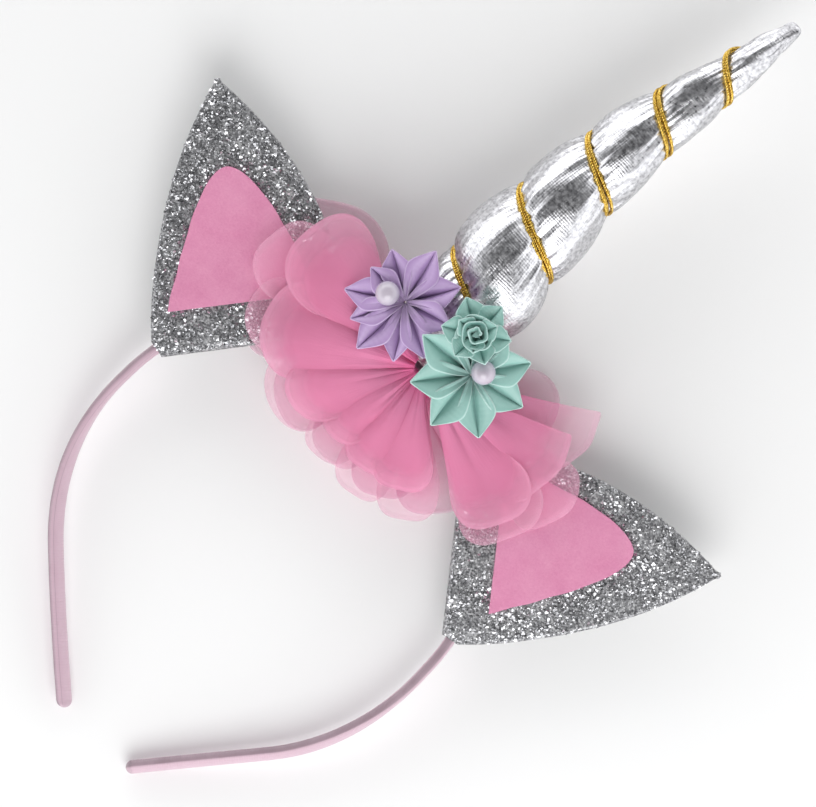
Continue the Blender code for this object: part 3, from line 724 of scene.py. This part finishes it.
def build_horn():
    rows, cols = 420, 132
    height = np.linspace(0, HORN_LENGTH, rows)[:, None].repeat(cols, axis=1)
    angle = (np.arange(cols) / cols * TAU + math.pi / 2)[None, :].repeat(rows, axis=0)
    turn = cord_turn(height)
    phase = (turn - (angle - math.pi / 2) / TAU) % 1.0
    off = np.minimum(phase, 1 - phase)
    swell = np.sqrt(np.clip(1 - (1 - off / 0.5) ** 2, 0, 1))
    depth = HORN_GROOVE * groove_share(height)
    radius = horn_outline(height) * (1 - depth * (1 - swell))
    # Pleats run along the horn, out of the pinch under the cord
    close = np.exp(-off / 0.17) * groove_share(height)
    pleats = np.sin(13 * angle + 2.2 * np.sin(3 * turn)) + 0.7 * np.sin(23 * angle - 1.7 * turn)
    pleats += 0.5 * np.sin(37 * angle + 5.0 * np.sin(turn))
    lumps = np.sin(3 * angle + 2.0 * turn) * 0.00030 + np.sin(5 * angle - 3.1 * turn + 1.0) * 0.00022
    lumps += np.sin(8 * angle + 11 * turn) * 0.00007
    pleats = radius * PLEAT_DEPTH * close * pleats * (1 - 0.6 * np.exp(-off / 0.04))
    radius = radius + pleats + lumps * (1 - close)
    # The foot puckers and the tip is pinched flat
    foot = np.exp(-height / 0.006)
    radius = radius * (1 + 0.05 * foot * np.sin(13 * angle))
    tip = smoothstep((height - HORN_LENGTH + 0.012) / 0.012)
    radius = radius * (1 + 0.10 * tip * np.sin(5 * angle + 40 * height / HORN_LENGTH))
    end = np.clip((height - HORN_LENGTH + 0.0022) / 0.0022, 0, 1)
    radius = radius * (1 - 0.25 * tip) * (0.45 + 0.55 * np.sqrt(1 - end**2))
    centre, across, _ = horn_frame(height)
    side = radius * np.cos(angle)
    front = radius * np.sin(angle) * (1 - 0.30 * tip)
    points = centre + side[..., None] * across + front[..., None] * np.array([0, 0, 1.0])
    points, faces, uvs = join_grids([points], wrap=True, size=(8.0, 16.0))
    points, faces, uvs = cap_ends(points, faces, uvs, rows, cols)
    horn = piece("horn_stuffed", points, faces, LAME, uvs, ["horn"])


def sweep(path, radius, sides):
    """A tube of rings round a path."""
    tangent = np.gradient(path, axis=0)
    tangent /= np.linalg.norm(tangent, axis=1)[:, None]
    up = np.cross(tangent, [0.13, 0.97, 0.21])
    up /= np.linalg.norm(up, axis=1)[:, None]
    over = np.cross(tangent, up)
    a = np.arange(sides) / sides * TAU
    radius = np.broadcast_to(radius, (len(path),))
    ring = np.cos(a)[None, :, None] * up[:, None, :] + np.sin(a)[None, :, None] * over[:, None, :]
    return path[:, None, :] + radius[:, None, None] * ring


def build_cord():
    """Three strands side by side in the groove, each of three twisted threads."""
    start = float(cord_turn(np.array(CORD_FOOT_MARGIN)))
    end = float(cord_turn(np.array(HORN_LENGTH - CORD_TIP_MARGIN))) - CORD_HIDDEN_END
    count = 1350
    turn = np.linspace(start, end, count)
    height = cord_height(turn)
    angle = math.pi / 2 + TAU * turn
    valley = horn_outline(height) * (1 - HORN_GROOVE * groove_share(height))
    centre, across, _ = horn_frame(height)
    out = np.cos(angle)[:, None] * across + np.sin(angle)[:, None] * np.array([0, 0, 1.0])
    line = centre + (valley + CORD_LIFT)[:, None] * out
    run = np.concatenate([[0], np.cumsum(np.linalg.norm(np.diff(line, axis=0), axis=1))])
    tangent = np.gradient(line, axis=0)
    tangent /= np.linalg.norm(tangent, axis=1)[:, None]
    beside = np.cross(out, tangent)
    step = np.arange(count)
    taper = np.minimum(1.0, 0.3 + np.minimum(step, count - 1 - step) / 12)
    grids = []
    for strand in (-1, 0, 1):
        spread = 0.00072 + 0.00020 * np.sin(run * 75 + 1.3)
        shift = strand * spread + 0.00022 * np.sin(run * 110 + 2.1 * strand)
        lift = 0.00035 * abs(strand) + 0.00015 * np.sin(run * 95 + 2 * strand)
        base = line + shift[:, None] * beside + lift[:, None] * out
        for thread in range(3):
            twist = TAU * (run / 0.0024 + thread / 3)
            offset = np.cos(twist)[:, None] * beside + np.sin(twist)[:, None] * out
            grids.append(sweep(base + 0.00026 * offset, 0.00030 * taper, 6))
    points, faces, uvs = join_grids(grids, wrap=True)
    piece("gold_cord_strands", points, faces, GOLD, uvs, ["horn_cord"])


# Rosette


def tier_heights(x, y, tree, default):
    """Height just under the tops of a tier's solids, taken from near by where a place misses them."""
    out = np.full(x.shape, np.nan)
    offsets = [(0, 0), (0.0014, 0), (-0.0014, 0), (0, 0.0014), (0, -0.0014)]
    offsets += [(0.003, 0), (-0.003, 0), (0, 0.003), (0, -0.003)]
    for index in np.ndindex(x.shape):
        for dx, dy in offsets:
            hit = tree.ray_cast(Vector((x[index] + dx, y[index] + dy, 0.1)), DOWN)[0]
            if hit is not None:
                out[index] = hit.z
                break
    for index in np.argwhere(np.isnan(out)):
        near = tree.find_nearest(Vector((x[tuple(index)], y[tuple(index)], default)))[0]
        out[tuple(index)] = near.z
    return out - PETAL_SINK


def build_tier(prefix, table, focus, material, shape, seed):
    """Overlapping gathered petals that lie where a tier's solids lie."""
    rng = np.random.default_rng(seed)
    names = [f"{prefix}_{i + 1}" for i in range(len(table))]
    tree = node_tree(names)
    rows, cols = 46, 48
    s = np.linspace(0, 1, rows)[:, None]
    t = np.sin(np.linspace(-1, 1, cols) * math.pi / 2)[None, :]
    coarse = (8, 6)
    cs = np.linspace(0, 1, coarse[0])[:, None]
    ct = np.sin(np.linspace(-1, 1, coarse[1]) * math.pi / 2)[None, :]
    up, over = spline_weights(rows, coarse[0]), spline_weights(cols, coarse[1])
    for i, (direction, share, spread, skew, rounded) in enumerate(table):
        reach = PETAL_REACH * share
        angle0, wide = math.radians(direction), math.radians(spread)
        corner = rounded * rng.uniform(0.22, 0.30)

        def spot(s, t):
            rim = reach * (1 - corner + corner * np.sqrt(np.maximum(0, 1 - np.abs(t) ** 2.6)))
            rim = rim * (1 + skew * t + 0.008 * np.sin(5 * t + i))
            distance = PETAL_ROOT + s * (rim - PETAL_ROOT)
            angle = angle0 + t * wide * (0.70 + 0.30 * s)
            return focus[0] + distance * np.cos(angle), focus[1] + distance * np.sin(angle)

        heights = tier_heights(*spot(cs, ct), tree, shape["default"])
        x, y = spot(s, t)
        z = up @ heights @ over.T
        fade = np.sin(math.pi * np.clip(s * 1.15, 0, 1)) ** 0.8
        at, width = rng.uniform(-0.5, 0.5), rng.uniform(0.16, 0.30)
        crease = shape["crease"] * rng.uniform(0.4, 1.0) * np.exp(-(((t - at) / width) ** 2))
        z = z - crease * fade * (1 - s)
        z = z + shape["puff"] * (1 - t * t) * np.sin(math.pi * np.clip(s * 0.95, 0, 1))
        z = z + shape["frill"] * s**3 * np.sin(rng.uniform(1.8, 3.4) * t + rng.uniform(0, TAU))
        z = z + shape["curl"] * rng.uniform(-0.5, 1.0) * s**5
        z = z + shape["lap"] * t * np.minimum(1, 0.3 + s)
        points, faces, uvs = join_grids([np.stack([x, y, z], axis=-1)])
        world = to_world(points)
        world[:, 2] = np.maximum(world[:, 2], TABLE_GAP)
        petal = piece(
            f"chiffon_{names[i]}", world, faces, material, uvs, [names[i]], place=False
        )
        thicken(petal, 0.00022)


def build_hub(name, node):
    """The chiffon drawn together: a small pleated knot."""
    low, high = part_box(node)
    centre = [(a + b) / 2 for a, b in zip(low, high)]
    half = [(b - a) / 2 for a, b in zip(low, high)]
    rows, cols = 24, 72
    v = np.linspace(0.02, 0.98, rows)[:, None] * math.pi
    a = (np.arange(cols) / cols * TAU)[None, :]
    pleat = 1 + 0.07 * np.sin(12 * a + 2 * np.sin(v)) * np.sin(v)
    x = centre[0] + half[0] * 0.97 * np.sin(v) * np.cos(a) * pleat
    y = centre[1] + half[1] * 0.97 * np.sin(v) * np.sin(a) * pleat
    z = centre[2] + half[2] * 0.95 * np.cos(v) * np.ones_like(a)
    grid = np.stack([x, y, z], axis=-1)
    points, faces, uvs = join_grids([grid], wrap=True)
    points, faces, uvs = cap_ends(points, faces, uvs, rows, cols)
    hub = piece(name, points, faces, HUB_CHIFFON, uvs, [node], place=False)


BACK_TIER = [
    # direction, share of reach, half spread in degrees, lean of the rim, how rounded its corners are
    (161, 0.98, 17, 0.15, 1.0),
    (194, 0.87, 20, 0.0, 1.0),
    (228, 0.64, 21, 0.0, 1.0),
    (262, 0.53, 20, 0.0, 1.0),
    (297, 0.55, 21, 0.0, 1.0),
    (326, 0.62, 20, 0.03, 1.0),
    (357, 0.84, 20, 0.0, 0.6),
    (36, 0.70, 17, -0.02, 0.8),
]
FRONT_TIER = [
    # direction, share of reach, half spread in degrees, lean of the rim, how rounded its corners are
    (186, 0.95, 15, 0.0, 1.0),
    (206, 0.87, 15, -0.02, 1.0),
    (234, 0.75, 20, 0.0, 1.0),
    (262, 0.66, 15, 0.0, 1.0),
    (284, 0.69, 15, 0.03, 1.0),
    (307, 0.73, 15, 0.0, 1.0),
    (343, 0.90, 16, 0.0, 0.7),
    (358, 0.95, 13, 0.0, 0.5),
    (19, 0.85, 11, 0.03, 0.15),
]
TOP_TIER = [
    # direction, share of reach, half spread in degrees, lean of the rim, how rounded its corners are
    (177, 0.84, 21, -0.04, 1.0),
    (209, 0.78, 21, -0.02, 1.0),
    (237, 0.65, 18, -0.03, 1.1),
    (259, 0.54, 16, 0.0, 1.0),
    (281, 0.56, 17, 0.03, 1.1),
    (303, 0.59, 17, 0.0, 1.0),
    (343, 0.82, 17, 0.0, 0.8),
    (5, 0.79, 15, 0.0, 0.15),
]
BACK_SHAPE = {"puff": 0.0008, "crease": 0.0008, "frill": 0.0008, "curl": 0.0015, "lap": 0.0004}
BACK_SHAPE |= {"default": -0.012, "rests": "hoop"}
FRONT_SHAPE = {"puff": 0.0012, "crease": 0.0010, "frill": 0.0010, "curl": 0.0014, "lap": 0.0006}
FRONT_SHAPE |= {"default": 0.006, "rests": "front_hub"}
TOP_SHAPE = {"puff": 0.0017, "crease": 0.0012, "frill": 0.0011, "curl": 0.0018, "lap": 0.0007}
TOP_SHAPE |= {"default": 0.009, "rests": "front_hub"}


# Flowers, pearls and rose


def ribbon_petal(length, half_width, root, cup, rise, rows=26, cols=19):
    """A pointed petal along +X, widest near its tip, folded down its middle, its sides standing up."""
    s = np.linspace(0, 1, rows)[:, None] ** 0.92
    t = np.linspace(-1, 1, cols)[None, :]
    widen = 0.10 + 0.90 * (s / 0.60) ** 0.85
    close = ((1 - s) / 0.40) ** 0.90 + 0.012
    width = half_width * (widen**-5 + close**-5) ** (-1 / 5) * 1.10
    x = np.repeat(root + s * (length - root), cols, axis=1)
    y = width * t
    fade = np.sin(math.pi * np.clip(0.1 + 0.9 * s, 0, 1)) ** 0.5
    valley = -0.45 * cup * np.exp(-((t / 0.14) ** 2)) * fade
    walls = cup * np.abs(t) ** 1.5 * (0.25 + 0.75 * (1 - s) ** 0.8) * np.minimum(1, 0.2 + 3 * s)
    belly = 0.30 * cup * (1 - (2 * np.abs(t) - 1) ** 2) * np.sin(math.pi * s)
    z = valley + walls + belly + rise * s**1.4
    return np.stack([x, y, z], axis=-1)


def turned(grid, angle, tilt=0.0, roll=0.0):
    """A petal turned about its own middle line, tilted up and swung to its direction."""
    m = Matrix.Rotation(angle, 3, "Z") @ Matrix.Rotation(-tilt, 3, "Y") @ Matrix.Rotation(roll, 3, "X")
    return grid @ np.array(m).T


def flower_base(node, place, tilt):
    """Where a flower's middle rests and how it is tipped, in the hoop's plane."""
    hit = node_tree([node]).ray_cast(Vector((*place, 0.1)), DOWN)[0]
    return np.array(Matrix.Translation((*place, hit.z)) @ Euler(tilt).to_matrix().to_4x4())


def placed(grid, matrix):
    return grid @ matrix[:3, :3].T + matrix[:3, 3]


def build_flower(name, node, place, tilt, petals, material):
    """petals: direction in degrees, length in millimetres, half width in millimetres, tilt and roll."""
    base = flower_base(node, place, tilt)
    grids = []
    for direction, length, half_width, lift, roll in petals:
        grid = ribbon_petal(length / 1000, half_width / 1000, 0.0004, 0.0024, 0.0008)
        grid = turned(grid, math.radians(direction) - tilt[2], math.radians(lift), math.radians(roll))
        grids.append(placed(grid, base))
    points, faces, uvs = join_grids(grids)
    flower = piece(name, points, faces, material, uvs, [node])
    thicken(flower, 0.00045)


def build_pearl(name, node):
    low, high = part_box(node)
    centre = np.array([(a + b) / 2 for a, b in zip(low, high)])
    radius = (high[0] - low[0]) / 2
    rows, cols = 40, 56
    v = (np.linspace(0.004, 0.996, rows) * math.pi)[:, None]
    a = (np.arange(cols) / cols * TAU)[None, :]
    grid = np.stack([np.sin(v) * np.cos(a), np.sin(v) * np.sin(a), np.cos(v) * np.ones_like(a)], axis=-1)
    points, faces, uvs = join_grids([centre + radius * grid], wrap=True)
    points, faces, uvs = cap_ends(points, faces, uvs, rows, cols)
    piece(name, points, faces, PEARL, uvs, [node], place=False)


ROSE_PLACE = (0.0033, 0.0204)
ROSE_TILT = (math.radians(-8), 0.0, math.radians(20))


def build_rose():
    """A ribbon rolled into a bud, with pointed petals folded out of its foot."""
    low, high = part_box("rose")
    middle = TO_BAND @ Vector([(a + b) / 2 for a, b in zip(low, high)])
    foot = Matrix.Translation((*ROSE_PLACE, middle.z - 0.0024))
    base = np.array(foot @ Euler(ROSE_TILT).to_matrix().to_4x4())
    rows, cols = 12, 130
    h = np.linspace(0, 1, rows)[:, None]
    turn = np.linspace(0, 1, cols)[None, :]
    angle = TAU * 2.6 * turn
    radius = 0.0006 + 0.0040 * turn**0.9 + 0.0010 * h**2 * turn + 0.00022 * np.sin(4.3 * angle)
    tall = 0.0062 - 0.0026 * turn + 0.0005 * np.sin(2.2 * angle + 1)
    z = h * tall
    roll = 0.0005 * smoothstep((h - 0.75) / 0.25)
    x, y = (radius + roll) * np.cos(angle), (radius + roll) * np.sin(angle)
    grids = [placed(np.stack([x, y, z], axis=-1), base)]
    outer = [
        # direction, length, half width, tilt, roll
        (15, 10.6, 4.3, 14, 8),
        (72, 11.2, 4.5, 10, -8),
        (130, 11.4, 4.6, 8, 6),
        (190, 10.6, 4.4, 10, -6),
        (250, 9.4, 4.2, 18, 8),
        (310, 9.6, 4.2, 18, -6),
        (45, 8.2, 3.6, 34, 4),
        (165, 8.2, 3.6, 34, -4),
        (285, 7.6, 3.4, 38, 4),
    ]
    for direction, length, half_width, lift, roll_angle in outer:
        grid = ribbon_petal(length / 1000, half_width / 1000, 0.0012, 0.0016, 0.0004, 16, 13)
        grid = turned(grid, math.radians(direction), math.radians(lift), math.radians(roll_angle))
        grids.append(placed(grid, base))
    points, faces, uvs = join_grids(grids)
    rose = piece("rose_rolled", points, faces, SATIN_MINT, uvs, ["rose"])
    thicken(rose, 0.0004)


LILAC_PETALS = [
    # direction, length, half width, tilt, roll
    (213, 18.0, 5.2, 3, 4),
    (178, 14.0, 4.6, 8, -4),
    (148, 15.6, 5.0, 3, 0),
    (102, 17.4, 5.4, 2, 6),
    (58, 17.2, 5.2, 0, -5),
    (18, 16.0, 5.0, 3, 8),
    (335, 17.4, 4.8, 1, -6),
    (304, 17.4, 4.8, -2, 5),
    (268, 19.4, 5.2, 0, -3),
    (242, 16.6, 4.4, 5, 4),
]
MINT_PETALS = [
    # direction, length, half width, tilt, roll
    (56, 17.4, 5.8, 2, 4),
    (11, 17.6, 5.8, 0, -4),
    (321, 18.4, 6.0, 0, 5),
    (274, 18.6, 6.0, 1, -3),
    (229, 18.2, 6.0, 2, 4),
    (184, 19.2, 6.0, 3, -4),
    (140, 17.0, 5.6, 5, 3),
    (98, 16.5, 5.6, 6, -3),
]


# Light, floor and camera


def area_light(name, place, size, power):
    """A rectangular light aimed at the middle of the table."""
    data = bpy.data.lights.new(name, "AREA")
    data.shape = "RECTANGLE"
    data.size, data.size_y = size
    data.energy = power
    obj = bpy.data.objects.new(name, data)
    obj.location = place
    obj.rotation_euler = (-Vector(place)).to_track_quat("-Z", "Y").to_euler()
    bpy.context.scene.collection.objects.link(obj)


def build_stage():
    size = 3.0
    mesh = bpy.data.meshes.new("floor")
    corners = [(-size, -size, 0), (size, -size, 0), (size, size, 0), (-size, size, 0)]
    mesh.from_pydata(corners, [], [(0, 1, 2, 3)])
    look = Look("pale_floor", (0.92, 0.918, 0.915), 0.85)
    stops = [(0.3, (0.915, 0.91, 0.905)), (0.7, (0.93, 0.927, 0.925))]
    look.feed("Base Color", look.ramp(look.noise(6.0), stops))
    mesh.materials.append(look.material)
    floor = bpy.data.objects.new("floor", mesh)
    bpy.context.scene.collection.objects.link(floor)
    # A bright room with a dim ceiling, which the metal cloth shows as its dark streak
    world = bpy.data.worlds.new("studio")
    world.use_nodes = True
    tree = world.node_tree
    place = tree.nodes.new("ShaderNodeTexCoord")
    split = tree.nodes.new("ShaderNodeSeparateXYZ")
    ramp = tree.nodes.new("ShaderNodeValToRGB")
    tree.links.new(place.outputs["Generated"], split.inputs[0])
    tree.links.new(split.outputs["Z"], ramp.inputs["Fac"])
    levels = [(0.0, 2.2), (0.25, 2.1), (0.46, 1.05), (0.66, 0.34), (0.84, 0.13), (1.0, 0.10)]
    set_stops(ramp.color_ramp, [(at, (0.98 * level, 0.99 * level, level)) for at, level in levels])
    tree.links.new(ramp.outputs["Color"], tree.nodes["Background"].inputs["Color"])
    tree.nodes["Background"].inputs["Strength"].default_value = 1.0
    bpy.context.scene.world = world
    area_light("key", (0.55, -0.56, 0.88), (1.0, 0.9), 9.2)
    area_light("fill", (-1.0, 0.73, 0.42), (1.8, 0.7), 4.5)


def build_camera():
    """Straight from above and far off, turned so that the horn points to the upper right."""
    right = Vector((0.711, 0.703, 0)).normalized()
    up = Vector((-right.y, right.x, 0))
    distance = 2.6
    seen = 0.2366  # width of the picture at that distance
    sensor = 36.0  # millimetres
    data = bpy.data.cameras.new("camera")
    data.sensor_width = sensor
    data.lens = sensor * distance / seen
    obj = bpy.data.objects.new("camera", data)
    obj.matrix_world = Matrix(
        (
            (right.x, up.x, 0, 0.0031),
            (right.y, up.y, 0, -0.0115),
            (0, 0, 1, 0.016 + distance),
            (0, 0, 0, 1),
        )
    )
    bpy.context.scene.collection.objects.link(obj)
    bpy.context.scene.camera = obj
    bpy.context.scene.view_settings.view_transform = "Standard"


build_hoop()
build_ear("ear_left", -1)
build_ear("ear_right", 1)
build_inner_ear("inner_ear_left", -1, 0.0018)
build_inner_ear("inner_ear_right", 1, -0.0025)
build_horn()
build_cord()
build_hub("back_hub_gathers", "back_hub")
build_hub("front_hub_gathers", "front_hub")
build_tier("back_petal", BACK_TIER, BACK_FOCUS, CHIFFON_BACK, BACK_SHAPE, 11)
build_tier("front_petal", FRONT_TIER, FRONT_FOCUS, CHIFFON_FRONT, FRONT_SHAPE, 12)
build_tier("top_petal", TOP_TIER, FRONT_FOCUS, CHIFFON_TOP, TOP_SHAPE, 13)
build_flower(
    "lilac_flower_ribbon",
    "lilac_flower",
    (-0.018, 0.0123),
    (math.radians(3), math.radians(-12), math.radians(10)),
    LILAC_PETALS,
    SATIN_LILAC,
)
build_flower(
    "mint_flower_ribbon",
    "mint_flower",
    (0.0103, 0.0109),
    (math.radians(-2), math.radians(14), math.radians(6)),
    MINT_PETALS,
    SATIN_MINT,
)
build_rose()
build_pearl("lilac_pearl_bead", "lilac_pearl")
build_pearl("mint_pearl_bead", "mint_pearl")
build_stage()
build_camera()
